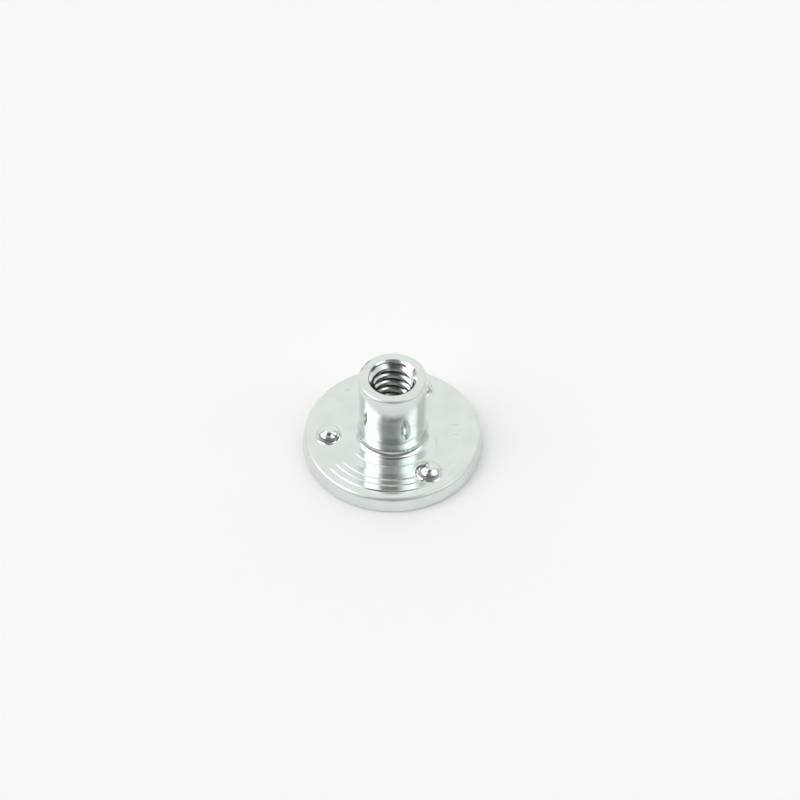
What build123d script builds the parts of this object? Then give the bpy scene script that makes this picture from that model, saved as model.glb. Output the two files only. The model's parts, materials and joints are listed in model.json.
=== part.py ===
"""Round-base weld nut: a long threaded barrel on a disc flange with three weld projections.

The nut is one cold-formed piece of steel. It stands on the flange's plain underside with its axis on Z and
its origin at the centre of that face, so the barrel points up. All lengths are in millimetres.
"""
import math
import os

from build123d import *

# Flange: widest just above its foot, with a rim that leans in towards the upper face
flange_diameter = 19.05
flange_thickness = 1.9
flange_draft_angle = 11.0
flange_edge_radius = 0.4
flange_foot_chamfer = 0.25

# Barrel, with a hollow root on the flange and a broken edge at its end
barrel_diameter = 7.05
barrel_height = 8.35
barrel_rim_chamfer = 0.18
barrel_root_reach = 0.76
barrel_root_height = 0.73

# Bore, tapped for a No. 10-24 screw, with a countersunk mouth at each end
thread_minor_diameter = 3.9
mouth_diameter = 5.0

# Weld projections on the flange's upper face: round crowns that run out into the face in a hollow root.
# The shares place the outline's control points between the projection's foot and its top.
projection_count = 3
projection_start_angle = 64.0
projection_circle_diameter = 13.55
projection_diameter = 3.1
projection_height = 0.92
projection_root_share = 0.705
projection_flank_reach_share = 0.927
projection_flank_rise_share = 0.182
projection_crown_share = 0.564
projection_sunk_share = 0.25

# Values that follow from the sizes above
flange_radius = flange_diameter / 2
barrel_radius = barrel_diameter / 2
overall_height = flange_thickness + barrel_height
rim_lean = (flange_thickness - flange_foot_chamfer) * math.tan(math.radians(flange_draft_angle))
mouth_depth = (mouth_diameter - thread_minor_diameter) / 2
projection_radius = projection_diameter / 2
projection_sunk_depth = projection_sunk_share * flange_thickness

# One projection, on a short plug that is sunk into the flange
with BuildPart() as projection:
    with BuildSketch(Plane.XZ):
        with BuildLine():
            plug_floor = Line((0, -projection_sunk_depth), (projection_radius, -projection_sunk_depth))
            plug_wall = Line(plug_floor @ 1, (projection_radius, 0))
            outline = Bezier(
                plug_wall @ 1,
                (projection_root_share * projection_radius, 0),
                (projection_flank_reach_share * projection_radius, projection_flank_rise_share * projection_height),
                (projection_crown_share * projection_radius, projection_height),
                (0, projection_height),
            )
            Line(outline @ 1, plug_floor @ 0)
        make_face()
    revolve(axis=Axis.Z)

with BuildPart() as weld_nut:
    # Flange and barrel in one turn
    with BuildSketch(Plane.XZ):
        with BuildLine():
            underside = Line((0, 0), (flange_radius - flange_foot_chamfer, 0))
            foot = Line(underside @ 1, (flange_radius, flange_foot_chamfer))
            rim_wall = Line(foot @ 1, (flange_radius - rim_lean, flange_thickness))
            weld_face = Line(rim_wall @ 1, (barrel_radius + barrel_root_reach, flange_thickness))
            barrel_root = EllipticalCenterArc(
                (barrel_radius + barrel_root_reach, flange_thickness + barrel_root_height),
                barrel_root_reach,
                barrel_root_height,
                start_angle=270,
                arc_size=-90,
            )
            barrel_wall = Line(barrel_root @ 1, (barrel_radius, overall_height - barrel_rim_chamfer))
            barrel_rim = Line(barrel_wall @ 1, (barrel_radius - barrel_rim_chamfer, overall_height))
            barrel_end = Line(barrel_rim @ 1, (0, overall_height))
            Line(barrel_end @ 1, underside @ 0)
        make_face()
    revolve(axis=Axis.Z)

    # Rounded upper edge of the flange
    face_circles = weld_nut.edges().filter_by(GeomType.CIRCLE).filter_by_position(
        Axis.Z, flange_thickness, flange_thickness
    )
    fillet(face_circles.sort_by(SortBy.RADIUS)[-1], radius=flange_edge_radius)

    # Tapping bore from end to end, with both mouths countersunk
    Hole(thread_minor_diameter / 2)
    bore_wall = weld_nut.faces().filter_by(GeomType.CYLINDER).sort_by(SortBy.RADIUS)[0]
    chamfer(bore_wall.edges().filter_by(GeomType.CIRCLE), length=mouth_depth)

    # Weld projections on the upper face
    with Locations((0, 0, flange_thickness)):
        with PolarLocations(projection_circle_diameter / 2, projection_count, projection_start_angle):
            add(projection.part)

weld_nut.part.label = "weld_nut"

os.makedirs("parts", exist_ok=True)
export_step(weld_nut.part, "parts/weld_nut.step")
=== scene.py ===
"""Zinc-plated round-base weld nut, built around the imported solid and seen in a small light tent."""
import json
import math

import bmesh
import bpy
from bpy.props import FloatProperty, FloatVectorProperty, IntProperty, PointerProperty
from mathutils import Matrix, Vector, noise


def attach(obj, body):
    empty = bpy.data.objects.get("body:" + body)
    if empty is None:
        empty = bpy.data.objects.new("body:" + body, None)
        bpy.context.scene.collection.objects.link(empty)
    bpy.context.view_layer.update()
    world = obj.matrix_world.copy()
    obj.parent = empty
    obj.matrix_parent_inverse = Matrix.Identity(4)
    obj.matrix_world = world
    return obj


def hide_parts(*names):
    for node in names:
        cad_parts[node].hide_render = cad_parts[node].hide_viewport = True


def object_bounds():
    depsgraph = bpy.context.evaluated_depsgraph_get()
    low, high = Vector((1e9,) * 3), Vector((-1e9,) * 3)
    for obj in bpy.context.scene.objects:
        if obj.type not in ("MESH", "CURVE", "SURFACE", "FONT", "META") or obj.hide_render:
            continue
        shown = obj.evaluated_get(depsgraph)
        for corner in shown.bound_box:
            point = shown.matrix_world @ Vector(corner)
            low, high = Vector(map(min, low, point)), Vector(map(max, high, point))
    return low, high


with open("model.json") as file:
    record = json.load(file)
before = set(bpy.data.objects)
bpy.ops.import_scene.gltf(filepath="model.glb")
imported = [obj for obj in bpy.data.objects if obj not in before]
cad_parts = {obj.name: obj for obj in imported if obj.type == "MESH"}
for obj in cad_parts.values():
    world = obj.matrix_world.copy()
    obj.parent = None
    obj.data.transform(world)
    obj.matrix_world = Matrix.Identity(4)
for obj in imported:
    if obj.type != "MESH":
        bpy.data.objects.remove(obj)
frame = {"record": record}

bl_info = {
    "name": "Weld Nut",
    "version": (1, 0, 0),
    "blender": (4, 5, 0),
    "location": "3D View > Sidebar > Weld Nut",
    "description": "Builds a zinc-plated weld nut with its thread, and the light tent around it",
    "category": "Add Mesh",
}

MM = 0.001
NODE = "weld_nut"
BODY = "root"
CAD_LOW, CAD_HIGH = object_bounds()
MOUNTS = {mount["name"]: mount for mount in frame["record"]["mounts"]}

# Mesh columns round the axis, rows across the weld face, and steps along one flank of the thread
COLUMNS = 276
FACE_ROWS = 112
FLANK_STEPS = 3

# Edges that turn by more than this stay sharp
SHARP_TURN = math.radians(35)

# Half the turn from an end face into its countersink
HALF_COUNTERSINK = math.radians(22.5)

# Thread form: lean of a flank, and the share of the pitch that is flat at the groove's floor
FLANK_ANGLE = math.radians(30)
ROOT_FLAT_SHARE = 1 / 8

# How dull the thread is, where the outer edges count as fully dull
THREAD_DULLNESS = 0.1

# Height of the direction that level faces mirror to the camera. The tent's directions run from -1 to 1 to the
# right, to the back and up, and the pairs below are where a part of the tent starts and where it is full.
MIRROR_HEIGHT = 0.755
LENS_SPREAD = math.radians(95)
LENS_EDGE = (0.70, 0.80)
ROOF_EDGE = (0.85, 0.95)
ROOF_TURN = (-0.20, 0.25)
APRON_EDGE = (0.14, 0.26)
TABLE_EDGE = (0.16, 0.34)
WALL_EDGE = (0.44, 0.60)
LEFT_PANEL_INNER = (0.38, 0.68)
LEFT_PANEL_BACK = (0.27, 0.07)
LEFT_PANEL_FOOT = (0.34, 0.56)
RIGHT_PANEL_INNER = (0.11, 0.50)
RIGHT_PANEL_BACK = (0.09, -0.21)

# Nicks in the barrel's end, with painted shade in them: x, y, direction in degrees, half length, half width, all
# lengths in millimetres
NICKS = (
    (-1.95, 1.42, 62.0, 0.50, 0.11),
    (2.20, 1.10, 110.0, 0.22, 0.10),
    (-2.58, 2.09, 51.0, 0.45, 0.09),
    (-3.15, 1.34, 67.0, 0.30, 0.09),
)

# Forming rings on the weld face: radius in millimetres, share of the full ring height
RINGS = (
    (5.02, 0.75),
    (6.74, 1.0),
    (7.46, 1.0),
    (8.24, 1.0),
)

# Faint scuffs on the weld face: x, y, half width, half depth, in millimetres
SCUFFS = (
    (6.65, 0.90, 0.45, 0.13),
    (6.60, -0.49, 0.40, 0.13),
    (4.55, -1.60, 0.25, 1.00),
    (-4.80, 5.90, 0.35, 0.25),
)


def length(name, description, default):
    """A length property in metres."""
    return FloatProperty(name=name, description=description, default=default, min=0.0, unit="LENGTH", precision=6)


def share(name, description, default, high=1.0):
    """A plain number property between nothing and a limit."""
    return FloatProperty(name=name, description=description, default=default, min=0.0, max=high, precision=4)


def level(name, description, default):
    """A brightness property, where 1 is paper white."""
    return FloatProperty(name=name, description=description, default=default, min=0.0, precision=3)


def angle(name, description, degrees):
    """An angle property, given in degrees."""
    return FloatProperty(name=name, description=description, default=math.radians(degrees), subtype="ANGLE")


def colour(name, description, default):
    """A linear colour property."""
    return FloatVectorProperty(name=name, description=description, default=default, size=3, min=0.0, max=1.0,
                               subtype="COLOR")


class WeldNutSizes(bpy.types.PropertyGroup):
    """Sizes of the nut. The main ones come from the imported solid."""

    flange_radius: length("Flange radius", "Outer radius of the disc", (CAD_HIGH.x - CAD_LOW.x) / 2)
    flange_thickness: length("Flange thickness", "Underside to weld face", MOUNTS["weld_face"]["pos_m"][2])
    rim_draft: angle("Rim draft", "Lean of the flange's rim towards its upper face", 11.0)
    rim_edge_radius: length("Rim edge radius", "Rounding of the flange's upper edge", 0.37 * MM)
    face_fall: length("Face fall", "How much lower the weld face is at its rim than at the barrel", 0.21 * MM)
    rim_roll_width: length("Rim roll width", "Width of the weld face's outer band that falls away", 0.65 * MM)
    rim_roll_drop: length("Rim roll drop", "How far that band falls at its outer side", 0.028 * MM)
    foot_radius: length("Foot radius", "Rounding of the flange's lower edge", 0.28 * MM)
    barrel_radius: length("Barrel radius", "Outer radius of the barrel", MOUNTS["barrel_pilot"]["dims"]["r_mm"] * MM)
    overall_height: length("Overall height", "Underside to barrel end", CAD_HIGH.z - CAD_LOW.z)
    barrel_rim_radius: length("Barrel rim radius", "Rounding of the barrel's outer end edge", 0.28 * MM)
    barrel_root_reach: length("Barrel root reach", "How far the hollow root reaches out on the flange", 0.58 * MM)
    barrel_root_height: length("Barrel root height", "How far the hollow root reaches up the barrel", 0.70 * MM)
    barrel_root_fullness: share("Barrel root fullness", "1 is a straight cone, 2 a round fillet", 1.6, 2.0)
    mouth_radius: length("Mouth radius", "Radius of the countersink at the end faces", 2.54 * MM)
    mouth_break: length("Mouth break", "Rounding of the countersink's outer edge", 0.06 * MM)
    thread_minor_radius: length("Thread minor radius", "Crest of the thread", MOUNTS["thread"]["dims"]["r_mm"] * MM)
    thread_major_radius: length("Thread major radius", "Root of the thread", 2.413 * MM)
    thread_pitch: length("Thread pitch", "Rise of one turn", 1.058 * MM)
    thread_start: angle("Thread start", "Direction in which the groove would reach the barrel's end", 227.0)
    projection_circle: length("Projection circle", "Radius on which the weld projections stand", 6.775 * MM)
    projection_start: angle("Projection start", "Direction of the first weld projection", 64.0)
    projection_count: IntProperty(name="Projections", description="Number of weld projections", default=3, min=1)
    projection_radius: length("Projection radius", "Radius of the crown at the weld face", 1.315 * MM)
    projection_height: length("Projection height", "Height over the weld face", 0.92 * MM)
    projection_root: length("Projection root", "Hollow fillet around the crown", 0.30 * MM)
    groove_radius: length("Groove radius", "Radius of the faint groove round a projection", 1.62 * MM)
    groove_width: length("Groove width", "Half width of that groove", 0.09 * MM)
    groove_depth: length("Groove depth", "Depth of that groove", 0.004 * MM)
    ring_rise: length("Ring rise", "Width in which a forming ring rises from its inner side", 0.70 * MM)
    ring_fall: length("Ring fall", "Width in which it falls on its outer side", 0.16 * MM)
    ring_height: length("Ring height", "Height of the strongest forming ring", 0.050 * MM)
    ring_least: share("Least ring", "Share of the height that the rings keep at the sides and back", 0.15)
    wave_height: length("Wave height", "Height of the surface's slight waviness", 0.004 * MM)
    nick_depth: length("Nick depth", "Depth of the small nicks in the barrel's end", 0.05 * MM)
    wave_length: length("Wave length", "Distance between the waves", 1.4 * MM)


class WeldNutFinish(bpy.types.PropertyGroup):
    """Finish of the zinc plate."""

    zinc: colour("Zinc", "Plate colour", (0.742, 0.785, 0.765))
    # Painted shade in the nicks of the barrel's end, and also the darker colour that the scuffs go towards
    nick_shade_and_scuff: colour("Thin zinc", "Thinner, darker plate in the nicks", (0.30, 0.32, 0.30))
    scuff: share("Scuff", "How far the scuffs go towards the thin plate", 0.19)
    cloud: share("Cloud", "How much the plate colour varies", 0.03)
    cloud_size: length("Cloud size", "Size of the colour clouds", 2.2 * MM)
    roughness_low: share("Least roughness", "Blur of reflections on the glossiest spots", 0.10)
    roughness_high: share("Most roughness", "Blur of reflections on the dullest spots", 0.17)
    dull_roughness: share("Dull roughness", "Blur of reflections on edges and in the thread", 0.38)
    gloss_size: length("Gloss size", "Size of the glossier and duller spots", 1.1 * MM)
    grain_size: length("Grain size", "Size of the fine unevenness under the plate", 0.7 * MM)
    grain_height: length("Grain height", "Height of the fine unevenness", 0.002 * MM)


class WeldNutStage(bpy.types.PropertyGroup):
    """Light tent, floor and camera."""

    floor: colour("Floor", "Colour of the paper floor", (0.885, 0.885, 0.885))
    floor_glow: share("Floor glow", "Own brightness of the paper, as seen by the camera and in reflections", 0.12)
    floor_size: length("Floor size", "Side of the floor", 4.0)
    wall_level: level("Wall level", "Brightness of the tent's back wall", 0.97)
    wall_tint: colour("Wall tint", "Colour of the tent's back wall", (0.983, 1.0, 0.973))
    side_level: level("Side level", "Brightness of the tent's sides", 0.8)
    left_gain: level("Left panel gain", "How much the left panel is brighter than the side", 2.1)
    right_gain: level("Right panel gain", "How much the right panel is brighter than the side", 1.08)
    roof_front_level: level("Roof front level", "Brightness of the roof towards the lens", 0.06)
    roof_back_level: level("Roof back level", "Brightness of the roof towards the wall", 0.5)
    lens_level: level("Lens level", "Brightness round and over the lens", 0.46)
    lens_low_level: level("Low lens level", "Brightness below the lens", 0.22)
    lens_turn: angle("Lens turn", "How far the opening for the lens lies left of the middle", 6.5)
    apron_level: level("Apron level", "Brightness in front, below the lens and the panels", 0.18)
    table_level: level("Table level", "Brightness lowest in front, over the table's far part", 0.50)
    camera_elevation: angle("Camera elevation", "Height of the view over the horizon", 48.85)
    camera_distance: length("Camera distance", "Lens to the middle of the weld face", 12 * 19.05 * MM)
    focal_length: FloatProperty(name="Focal length", description="Lens on a 36 mm sensor", default=97.74, min=1.0)
    image_side: IntProperty(name="Image side", description="Side of the square picture in pixels", default=800)
    face_pixel_x: FloatProperty(name="Face pixel X", description="Where the weld face's middle falls, from the left",
                                default=392.7)
    face_pixel_y: FloatProperty(name="Face pixel Y", description="Where the weld face's middle falls, from the top",
                                default=431.0)


def arc(centre, radii, start, end, steps):
    """Points of an ellipse's arc in the radius-height plane, both ends included, angles in degrees."""
    points = []
    for step in range(steps + 1):
        turn = math.radians(start + (end - start) * step / steps)
        points.append((centre[0] + radii[0] * math.cos(turn), centre[1] + radii[1] * math.sin(turn)))
    return points


def line(start, end, steps):
    """Points between two ends, without the ends."""
    return [
        (start[0] + (end[0] - start[0]) * step / steps, start[1] + (end[1] - start[1]) * step / steps)
        for step in range(1, steps)
    ]


def mouth_edge(sizes):
    """The rounded edge between an end face and its countersink, as (inset, depth) points from the face inward."""
    reach = sizes.mouth_break * math.tan(HALF_COUNTERSINK)
    points = []
    for step in range(5):
        turn = 2 * HALF_COUNTERSINK * step / 4
        points.append((reach - sizes.mouth_break * math.sin(turn), sizes.mouth_break * (1 - math.cos(turn))))
    return points


def rim_edge(sizes):
    """The rounding of the flange's upper edge: centre radius, centre height and its slope against the face."""
    lean, slope = sizes.rim_draft, math.atan(2 * sizes.rim_roll_drop / sizes.rim_roll_width)
    face = sizes.flange_thickness - sizes.face_fall / 2
    height = face - sizes.rim_roll_drop - sizes.rim_edge_radius * math.cos(slope)
    rise = height - sizes.foot_radius
    widest = sizes.flange_radius - sizes.foot_radius
    radius = widest - (rise * math.sin(lean) + sizes.rim_edge_radius - sizes.foot_radius) / math.cos(lean)
    return radius, height, slope


def face_drop(sizes, radius, outer):
    """How far the weld face lies below its mean height: it falls outward, most of all close to the rim."""
    inner = sizes.barrel_radius + sizes.barrel_root_reach
    into = max(0.0, 1 - (outer - radius) / sizes.rim_roll_width)
    return sizes.face_fall * ((radius - inner) / (outer - inner) - 0.5) + sizes.rim_roll_drop * into**2


def barrel_root(sizes):
    """The hollow root of the barrel, from the weld face up: flatter than a round fillet, almost a cone."""
    face, steps = sizes.flange_thickness + sizes.face_fall / 2, 22
    power = 2 / sizes.barrel_root_fullness
    points = []
    for step in range(steps + 1):
        turn = math.pi / 2 * step / steps
        out = sizes.barrel_root_reach * (1 - math.sin(turn) ** power)
        up = sizes.barrel_root_height * (1 - math.cos(turn) ** power)
        points.append((sizes.barrel_radius + out, face + up))
    return points


def outline(sizes):
    """Rows of the outside, from the lower countersink round the flange and barrel to the upper one."""
    face, top = sizes.flange_thickness, sizes.overall_height
    lean = math.degrees(sizes.rim_draft)
    edge = mouth_edge(sizes)
    lower = [(sizes.mouth_radius + inset, depth) for inset, depth in reversed(edge)]
    foot = arc((sizes.flange_radius - sizes.foot_radius, sizes.foot_radius), (sizes.foot_radius,) * 2, -90, lean, 9)
    edge_radius, edge_height, slope = rim_edge(sizes)
    rim = arc((edge_radius, edge_height), (sizes.rim_edge_radius,) * 2, lean, 90 - math.degrees(slope), 16)
    root = barrel_root(sizes)
    end = arc((sizes.barrel_radius - sizes.barrel_rim_radius, top - sizes.barrel_rim_radius),
              (sizes.barrel_rim_radius,) * 2, 0, 90, 10)
    upper = [(sizes.mouth_radius + inset, top - depth) for inset, depth in edge]
    flange = lower + line(lower[-1], foot[0], 6) + foot + line(foot[-1], rim[0], 4) + rim
    outer = rim[-1][0]
    radii = [radius for radius, _ in line((outer, face), root[0], FACE_ROWS)]
    for middle, _ in RINGS:
        radii += [middle * MM + sizes.ring_fall * (step / 4 - 0.5) for step in range(5)]
    weld_face = [(radius, face - face_drop(sizes, radius, outer)) for radius in sorted(radii, reverse=True)]
    barrel = root + line(root[-1], end[0], 14) + end + line(end[-1], upper[0], 10) + upper
    return flange, weld_face, barrel


def crown_height(sizes, distance):
    """Height of one weld projection at a distance from its middle: a spherical crown in a hollow fillet."""
    height, fillet = sizes.projection_height, sizes.projection_root
    sphere = (sizes.projection_radius**2 + height**2) / (2 * height)
    middle = height - sphere
    fillet_centre = math.sqrt((sphere + fillet) ** 2 - (fillet - middle) ** 2)
    if distance >= fillet_centre:
        return 0.0
    if distance > fillet_centre * sphere / (sphere + fillet):
        return fillet - math.sqrt(fillet**2 - (fillet_centre - distance) ** 2)
    return middle + math.sqrt(sphere**2 - distance**2)


def groove_depth(sizes, distance, ahead):
    """Depth of the faint groove that the punch left round a weld projection, on its front side only."""
    if ahead <= 0:
        return 0.0
    near = math.exp(-(((distance - sizes.groove_radius) / sizes.groove_width) ** 2))
    return sizes.groove_depth * near * ahead / distance


def ring_relief(sizes, radius, turn):
    """Height of the forming rings at a place on the weld face: a slow rise outward, then a small step down."""
    relief = 0.0
    for middle, strength in RINGS:
        before = middle * MM - radius
        climb = max(0.0, 1 - (before - sizes.ring_fall / 2) / sizes.ring_rise)
        climb = min(climb, max(0.0, before / sizes.ring_fall + 0.5))
        patch = 1 + 0.3 * noise.noise(Vector((2 * math.cos(turn), 2 * math.sin(turn), middle)))
        relief += sizes.ring_height * strength * patch * climb
    facing = max(0.0, min(1.0, (-math.sin(turn) - 0.25) / 0.4))
    return relief * (sizes.ring_least + (1 - sizes.ring_least) * facing)


def waviness(sizes, place):
    """Slight unevenness of the formed steel at a point."""
    return sizes.wave_height * noise.noise(place / sizes.wave_length)


def nick_share(place):
    """How much of the full nick depth is missing at a point of the barrel's end."""
    deepest = 0.0
    for x, y, turn, half_length, half_width in NICKS:
        aim = Vector((math.cos(math.radians(turn)), math.sin(math.radians(turn))))
        offset = Vector((place.x / MM - x, place.y / MM - y))
        along = offset.dot(aim) / half_length
        across = offset.cross(aim) / half_width
        deepest = max(deepest, math.exp(-(along**4) - across**2))
    return deepest


def thread_profile(sizes):
    """One pitch of the thread as (share of the pitch, radius), from the middle of the groove."""
    depth = sizes.thread_major_radius - sizes.thread_minor_radius
    flank = depth * math.tan(FLANK_ANGLE) / sizes.thread_pitch
    shares = [step / FLANK_STEPS for step in range(FLANK_STEPS + 1)]
    down = [(ROOT_FLAT_SHARE / 2 + flank * share_down, 1 - share_down) for share_down in shares]
    up = [(1 - place, rise) for place, rise in reversed(down)]
    points = [(0.0, 1.0)] + down + [(0.5, 0.0)] + up
    return [(place, sizes.thread_minor_radius + depth * rise) for place, rise in points]


def column_turns(sizes):
    """Directions of the mesh columns, closer together where the weld projections stand."""
    swing = math.tau * sizes.projection_count
    turns = []
    for column in range(COLUMNS):
        part = column / COLUMNS
        turns.append(sizes.projection_start + math.tau * (part - 0.6 * math.sin(swing * part) / swing))
    return turns


def nut_mesh(sizes):
    """The whole nut as one closed mesh."""
    flange, weld_face, barrel = outline(sizes)
    turns = column_turns(sizes)
    projections = []
    for number in range(sizes.projection_count):
        turn = sizes.projection_start + math.tau * number / sizes.projection_count
        projections.append((sizes.projection_circle * math.cos(turn), sizes.projection_circle * math.sin(turn)))
    vertices, faces = [], []
    for radius, height in flange:
        for turn in turns:
            uneven = waviness(sizes, Vector((radius * math.cos(turn), radius * math.sin(turn), height)))
            out = radius + uneven if height > sizes.foot_radius else radius
            vertices.append((out * math.cos(turn), out * math.sin(turn), height))
    for radius, height in weld_face:
        for turn in turns:
            x, y = radius * math.cos(turn), radius * math.sin(turn)
            rise = ring_relief(sizes, radius, turn) + waviness(sizes, Vector((x, y, height)))
            for px, py in projections:
                distance = math.hypot(x - px, y - py)
                rise += crown_height(sizes, distance) - groove_depth(sizes, distance, py - y)
            vertices.append((x, y, height + rise))
    for radius, height in barrel:
        for turn in turns:
            out = radius + waviness(sizes, Vector((radius * math.cos(turn), radius * math.sin(turn), height)))
            vertices.append((out * math.cos(turn), out * math.sin(turn), height))
    rows = flange + weld_face + barrel
    for row in range(len(rows) - 1):
        for column in range(COLUMNS):
            following = (column + 1) % COLUMNS
            low, high = row * COLUMNS, (row + 1) * COLUMNS
            faces.append((low + column, low + following, high + following, high + column))
    thread_wall(sizes, rows, turns, vertices, faces)
    places = [Vector(vertex) for vertex in vertices]
    end_band = sizes.overall_height - sizes.mouth_radius + sizes.thread_minor_radius
    missing = [nick_share(place) if place.z > end_band else 0.0 for place in places]
    for place, part in zip(places, missing):
        place.z -= sizes.nick_depth * part
    mesh = bpy.data.meshes.new("weld_nut_body")
    mesh.from_pydata(places, [], faces)
    dull = mesh.attributes.new("dull", "FLOAT", "POINT")
    dull.data.foreach_set("value", [dullness(sizes, place) for place in places])
    # The nick share is also painted shade: the material darkens the plate colour by it
    bare = mesh.attributes.new("bare", "FLOAT", "POINT")
    bare.data.foreach_set("value", missing)
    shade(mesh)
    return mesh


def dullness(sizes, place):
    """How dull the plate is at a point: fully on the outer edges, slightly in the thread, not on open faces."""
    radius = math.hypot(place.x, place.y)
    if inside_bore(sizes, place):
        return THREAD_DULLNESS
    edge_radius, edge_height, _ = rim_edge(sizes)
    on_rim = radius > edge_radius and place.z > edge_height
    barrel_edge = sizes.barrel_radius - sizes.barrel_rim_radius
    on_barrel_rim = radius > barrel_edge and place.z > sizes.overall_height - sizes.barrel_rim_radius
    return 1.0 if on_rim or on_barrel_rim else 0.0


def inside_bore(sizes, place):
    """Whether a point lies on the thread rather than on the outside or a countersink."""
    depth = min(place.z, sizes.overall_height - place.z)
    below_mouth = depth > sizes.mouth_radius - sizes.thread_minor_radius
    return below_mouth and math.hypot(place.x, place.y) < sizes.mouth_radius


def thread_wall(sizes, rows, turns, vertices, faces):
    """Adds the threaded bore between the two countersunk mouths, on rows that climb with the helix."""
    bottom, top = rows[0][1], rows[-1][1]
    last_row = (len(rows) - 1) * COLUMNS
    profile = thread_profile(sizes)
    per_turn = len(profile)
    pitch = sizes.thread_pitch
    laps = math.ceil(sizes.overall_height / pitch) + 4
    index = {}
    for column, turn in enumerate(turns):
        groove = sizes.overall_height + pitch * ((turn - sizes.thread_start) / math.tau + 2 - laps)
        for row in range(laps * per_turn):
            place, radius = profile[row % per_turn]
            height = groove + (row // per_turn + place) * pitch
            if height <= bottom:
                index[column, row] = column
            elif height >= top:
                index[column, row] = last_row + column
            else:
                cone = sizes.mouth_radius - min(height, sizes.overall_height - height)
                radius = max(radius, cone)
                index[column, row] = len(vertices)
                vertices.append((radius * math.cos(turn), radius * math.sin(turn), height))
    for column in range(COLUMNS):
        following = (column + 1) % COLUMNS
        climb = -per_turn if following == 0 else 0
        for row in range(per_turn, laps * per_turn - 1):
            corners = (
                index[column, row], index[following, row - climb] if row - climb < laps * per_turn else last_row,
                index[following, row + 1 - climb] if row + 1 - climb < laps * per_turn else last_row,
                index[column, row + 1],
            )
            corners = tuple(dict.fromkeys(corners))
            if len(corners) > 2:
                faces.append(corners)


def shade(mesh):
    """Turns all faces outward and marks the sharp edges."""
    work = bmesh.new()
    work.from_mesh(mesh)
    bmesh.ops.recalc_face_normals(work, faces=work.faces)
    for face in work.faces:
        face.smooth = True
    for edge in work.edges:
        edge.smooth = not edge.is_manifold or edge.calc_face_angle() < SHARP_TURN
    work.to_mesh(mesh)
    work.free()


class NodeMaths:
    """Short forms for the nodes that work with single numbers."""

    def __init__(self, tree):
        self.nodes, self.links = tree.nodes, tree.links

    def math(self, operation, first, second=0.0):
        """One sum, product or like of two numbers or sockets."""
        node = self.nodes.new("ShaderNodeMath")
        node.operation = operation
        for socket, value in zip(node.inputs, (first, second)):
            if isinstance(value, bpy.types.NodeSocket):
                self.links.new(value, socket)
            else:
                socket.default_value = value
        return node.outputs["Value"]

    def step(self, value, start, end):
        """A smooth change from 0 at the start to 1 at the end."""
        node = self.nodes.new("ShaderNodeMapRange")
        node.interpolation_type = "SMOOTHSTEP"
        node.inputs["From Min"].default_value = start
        node.inputs["From Max"].default_value = end
        self.links.new(value, node.inputs["Value"])
        return node.outputs["Result"]

    def mix(self, factor, first, second):
        """A blend from the first number to the second."""
        node = self.nodes.new("ShaderNodeMix")
        node.data_type = "FLOAT"
        for socket, value in zip(node.inputs[:1] + node.inputs[2:4], (factor, first, second)):
            if isinstance(value, bpy.types.NodeSocket):
                self.links.new(value, socket)
            else:
                socket.default_value = value
        return node.outputs[0]


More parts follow.
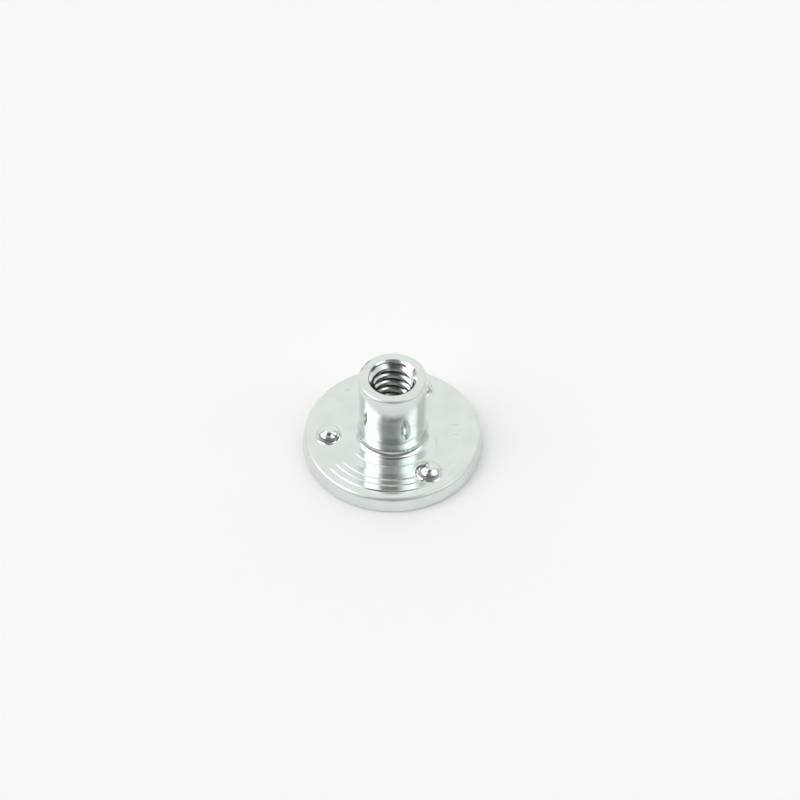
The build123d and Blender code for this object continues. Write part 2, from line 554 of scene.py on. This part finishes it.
def zinc_material(finish):
    """Bright zinc plate: slightly cloudy in colour and gloss, duller on edges and in the thread, with painted shade
    in the nicks and darker scuffs.
    """
    material = bpy.data.materials.new("zinc_plate")
    material.use_nodes = True
    nodes, links = material.node_tree.nodes, material.node_tree.links
    maths = NodeMaths(material.node_tree)
    shader = nodes["Principled BSDF"]
    shader.inputs["Metallic"].default_value = 1.0
    place = nodes.new("ShaderNodeTexCoord")

    def clouds(size, detail):
        node = nodes.new("ShaderNodeTexNoise")
        node.inputs["Scale"].default_value = 1 / size
        node.inputs["Detail"].default_value = detail
        links.new(place.outputs["Object"], node.inputs["Vector"])
        return node.outputs["Fac"]

    def scuff(point, x, y, half_width, half_depth):
        offset, scaled, reach = (nodes.new("ShaderNodeVectorMath") for _ in range(3))
        offset.operation, scaled.operation, reach.operation = "SUBTRACT", "MULTIPLY", "LENGTH"
        offset.inputs[1].default_value = (x * MM, y * MM, 0.0)
        scaled.inputs[1].default_value = (1 / (half_width * MM), 1 / (half_depth * MM), 0.0)
        links.new(point, offset.inputs[0])
        links.new(offset.outputs["Vector"], scaled.inputs[0])
        links.new(scaled.outputs["Vector"], reach.inputs[0])
        return maths.math("MULTIPLY", maths.step(reach.outputs["Value"], 1.2, 0.2), finish.scuff)

    shades = nodes.new("ShaderNodeMix")
    shades.data_type = "RGBA"
    shades.inputs["A"].default_value = (*(channel * (1 - finish.cloud) for channel in finish.zinc), 1.0)
    shades.inputs["B"].default_value = (*(channel * (1 + finish.cloud) for channel in finish.zinc), 1.0)
    links.new(maths.step(clouds(finish.cloud_size, 3.0), 0.3, 0.7), shades.inputs[0])
    dull, bare = nodes.new("ShaderNodeAttribute"), nodes.new("ShaderNodeAttribute")
    dull.attribute_name, bare.attribute_name = "dull", "bare"
    # Painted shade in the nicks and the scuffs darken the plate towards one darker colour
    nick_shade_and_scuffs = bare.outputs["Fac"]
    for x, y, half_width, half_depth in SCUFFS:
        nick_shade_and_scuffs = maths.math("MAXIMUM", nick_shade_and_scuffs, scuff(place.outputs["Object"], x, y, half_width, half_depth))
    darker = nodes.new("ShaderNodeMix")
    darker.data_type = "RGBA"
    darker.inputs["B"].default_value = (*finish.nick_shade_and_scuff, 1.0)
    links.new(nick_shade_and_scuffs, darker.inputs[0])
    links.new(shades.outputs["Result"], darker.inputs["A"])
    links.new(darker.outputs["Result"], shader.inputs["Base Color"])
    spots = maths.step(clouds(finish.gloss_size, 4.0), 0.3, 0.7)
    gloss = maths.mix(spots, finish.roughness_low, finish.roughness_high)
    links.new(maths.mix(dull.outputs["Fac"], gloss, finish.dull_roughness), shader.inputs["Roughness"])
    bump = nodes.new("ShaderNodeBump")
    bump.inputs["Strength"].default_value = 1.0
    bump.inputs["Distance"].default_value = finish.grain_height
    links.new(clouds(finish.grain_size, 2.0), bump.inputs["Height"])
    links.new(bump.outputs["Normal"], shader.inputs["Normal"])
    return material


class OBJECT_OT_weld_nut(bpy.types.Operator):
    """Build the plated nut in place of the plain solid"""

    bl_idname = "object.weld_nut"
    bl_label = "Weld Nut"

    def execute(self, context):
        scene = context.scene
        nut = bpy.data.objects.new("weld_nut_body", nut_mesh(scene.weld_nut_sizes))
        scene.collection.objects.link(nut)
        nut.data.materials.append(zinc_material(scene.weld_nut_finish))
        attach(nut, BODY)
        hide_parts(NODE)
        return {"FINISHED"}


def tent_world(stage):
    """The light tent: pale back wall, a bright panel on each side, a dim roof and a darker front round the lens."""
    world = bpy.data.worlds.new("light_tent")
    world.use_nodes = True
    nodes, links = world.node_tree.nodes, world.node_tree.links
    nodes.clear()
    tent = NodeMaths(world.node_tree)
    place = nodes.new("ShaderNodeTexCoord")
    split = nodes.new("ShaderNodeSeparateXYZ")
    links.new(place.outputs["Generated"], split.inputs["Vector"])
    right, back, up = split.outputs["X"], split.outputs["Y"], split.outputs["Z"]
    round_from_front = tent.math("ARCTAN2", right, tent.math("MULTIPLY", back, -1.0))
    rightward = tent.math("ADD", round_from_front, stage.lens_turn)
    sideways = tent.step(tent.math("ABSOLUTE", rightward), 0.0, LENS_SPREAD)
    lens = tent.mix(tent.step(up, *LENS_EDGE), stage.lens_low_level, stage.lens_level)
    front = tent.mix(sideways, lens, stage.side_level)
    roof = tent.mix(tent.step(back, *ROOF_TURN), stage.roof_front_level, stage.roof_back_level)
    front = tent.mix(tent.step(up, *ROOF_EDGE), front, roof)
    lifted = tent.step(tent.math("ADD", up, tent.math("MULTIPLY", back, 0.5)), *APRON_EDGE)
    front = tent.mix(lifted, stage.apron_level, front)
    front = tent.mix(tent.step(up, *TABLE_EDGE), stage.table_level, front)
    low = tent.math("MAXIMUM", tent.math("SUBTRACT", MIRROR_HEIGHT, up), 0.0)
    high = tent.math("MAXIMUM", tent.math("SUBTRACT", up, MIRROR_HEIGHT), 0.0)

    # The wall leans forward over the nut, more so at its sides
    lean = tent.math("ADD", tent.math("MULTIPLY", tent.math("ABSOLUTE", right), 4.0), 1.4)
    rear = tent.step(tent.math("ADD", back, tent.math("MULTIPLY", high, lean)), *WALL_EDGE)
    bright = tent.mix(rear, front, stage.wall_level)

    # The left panel leans in over the nut and ends above the table
    left_side = tent.math("SUBTRACT", tent.math("MULTIPLY", high, 0.9), right)
    left_back = tent.math("SUBTRACT", back, tent.math("MULTIPLY", high, 1.5))
    left_gain = tent.math("MULTIPLY", tent.step(up, *LEFT_PANEL_FOOT), stage.left_gain)

    # The right panel is narrower above and below the height of the mirrored view, and brighter above it
    right_edge = tent.math("ADD", tent.math("MULTIPLY", low, 1.7), tent.math("MULTIPLY", high, 0.7))
    right_side = tent.math("SUBTRACT", right, right_edge)
    right_gain = tent.math("MULTIPLY", tent.math("ADD", tent.math("MULTIPLY", high, 2.5), 1.0), stage.right_gain)
    for side, inner, depth, outer, gain in (
        (left_side, LEFT_PANEL_INNER, left_back, LEFT_PANEL_BACK, left_gain),
        (right_side, RIGHT_PANEL_INNER, back, RIGHT_PANEL_BACK, right_gain),
    ):
        panel = tent.math("MULTIPLY", tent.step(side, *inner), tent.step(depth, *outer))
        panel = tent.math("MULTIPLY", tent.math("MULTIPLY", panel, lifted), gain)
        bright = tent.math("ADD", bright, panel)
    tint = nodes.new("ShaderNodeMix")
    tint.data_type = "RGBA"
    tint.inputs["A"].default_value = (1.0, 1.0, 1.0, 1.0)
    tint.inputs["B"].default_value = (*stage.wall_tint, 1.0)
    links.new(rear, tint.inputs[0])
    path = nodes.new("ShaderNodeLightPath")
    seen = nodes.new("ShaderNodeBackground")
    seen.inputs["Color"].default_value = (*stage.floor, 1.0)
    lit = nodes.new("ShaderNodeBackground")
    links.new(tint.outputs["Result"], lit.inputs["Color"])
    links.new(bright, lit.inputs["Strength"])
    mix = nodes.new("ShaderNodeMixShader")
    output = nodes.new("ShaderNodeOutputWorld")
    links.new(path.outputs["Is Camera Ray"], mix.inputs["Fac"])
    links.new(lit.outputs["Background"], mix.inputs[1])
    links.new(seen.outputs["Background"], mix.inputs[2])
    links.new(mix.outputs["Shader"], output.inputs["Surface"])
    return world


def paper_floor(stage):
    """A wide sheet of pale paper at the nut's underside."""
    half = stage.floor_size / 2
    mesh = bpy.data.meshes.new("floor")
    corners = [(-half, -half, 0), (half, -half, 0), (half, half, 0), (-half, half, 0)]
    mesh.from_pydata(corners, [], [(0, 1, 2, 3)])
    floor = bpy.data.objects.new("floor", mesh)
    material = bpy.data.materials.new("pale_paper")
    material.use_nodes = True
    shader = material.node_tree.nodes["Principled BSDF"]
    shader.inputs["Base Color"].default_value = (*stage.floor, 1.0)
    shader.inputs["Roughness"].default_value = 0.9
    shader.inputs["Specular IOR Level"].default_value = 0.0
    shader.inputs["Emission Color"].default_value = (*stage.floor, 1.0)
    tent = NodeMaths(material.node_tree)
    path = material.node_tree.nodes.new("ShaderNodeLightPath")
    seen = tent.math("MAXIMUM", path.outputs["Is Camera Ray"], path.outputs["Is Glossy Ray"])
    material.node_tree.links.new(tent.math("MULTIPLY", seen, stage.floor_glow), shader.inputs["Emission Strength"])
    mesh.materials.append(material)
    return floor


def aimed_camera(stage, sizes):
    """The camera, aimed so that the weld face's middle falls on its pixel of the picture."""
    data = bpy.data.cameras.new("camera")
    data.sensor_width = 36.0
    data.lens = stage.focal_length
    data.clip_start = 0.01
    data.clip_end = 10.0
    camera = bpy.data.objects.new("camera", data)
    rise = stage.camera_elevation
    target = Vector((0.0, 0.0, sizes.flange_thickness))
    back = Vector((0.0, -math.cos(rise), math.sin(rise)))
    camera.location = target + back * stage.camera_distance
    pixels = stage.focal_length / data.sensor_width * stage.image_side
    middle = stage.image_side / 2
    right, up = Vector((1.0, 0.0, 0.0)), Vector((0.0, math.sin(rise), math.cos(rise)))
    ahead = -back + right * (middle - stage.face_pixel_x) / pixels + up * (stage.face_pixel_y - middle) / pixels
    camera.rotation_euler = ahead.to_track_quat("-Z", "Y").to_euler()
    return camera


class SCENE_OT_weld_nut_stage(bpy.types.Operator):
    """Set up the floor, the light tent and the camera"""

    bl_idname = "scene.weld_nut_stage"
    bl_label = "Stage"

    def execute(self, context):
        scene = context.scene
        stage = scene.weld_nut_stage
        scene.collection.objects.link(paper_floor(stage))
        scene.world = tent_world(stage)
        scene.camera = aimed_camera(stage, scene.weld_nut_sizes)
        scene.collection.objects.link(scene.camera)
        scene.view_settings.view_transform = "Standard"
        return {"FINISHED"}


class VIEW3D_PT_weld_nut(bpy.types.Panel):
    """Sidebar panel with the nut's sizes and steps"""

    bl_idname = "VIEW3D_PT_weld_nut"
    bl_label = "Weld Nut"
    bl_space_type = "VIEW_3D"
    bl_region_type = "UI"
    bl_category = "Weld Nut"

    def draw(self, context):
        for group in (context.scene.weld_nut_sizes, context.scene.weld_nut_finish, context.scene.weld_nut_stage):
            for name in group.bl_rna.properties.keys():
                if name not in ("rna_type", "name"):
                    self.layout.prop(group, name)
        self.layout.operator(OBJECT_OT_weld_nut.bl_idname)
        self.layout.operator(SCENE_OT_weld_nut_stage.bl_idname)


CLASSES = (
    WeldNutSizes, WeldNutFinish, WeldNutStage,
    OBJECT_OT_weld_nut, SCENE_OT_weld_nut_stage, VIEW3D_PT_weld_nut,
)


def register():
    for item in CLASSES:
        bpy.utils.register_class(item)
    bpy.types.Scene.weld_nut_sizes = PointerProperty(type=WeldNutSizes)
    bpy.types.Scene.weld_nut_finish = PointerProperty(type=WeldNutFinish)
    bpy.types.Scene.weld_nut_stage = PointerProperty(type=WeldNutStage)


def unregister():
    del bpy.types.Scene.weld_nut_stage
    del bpy.types.Scene.weld_nut_finish
    del bpy.types.Scene.weld_nut_sizes
    for item in reversed(CLASSES):
        bpy.utils.unregister_class(item)


def main():
    register()
    bpy.ops.object.weld_nut()
    bpy.ops.scene.weld_nut_stage()


if __name__ == "__main__":
    main()
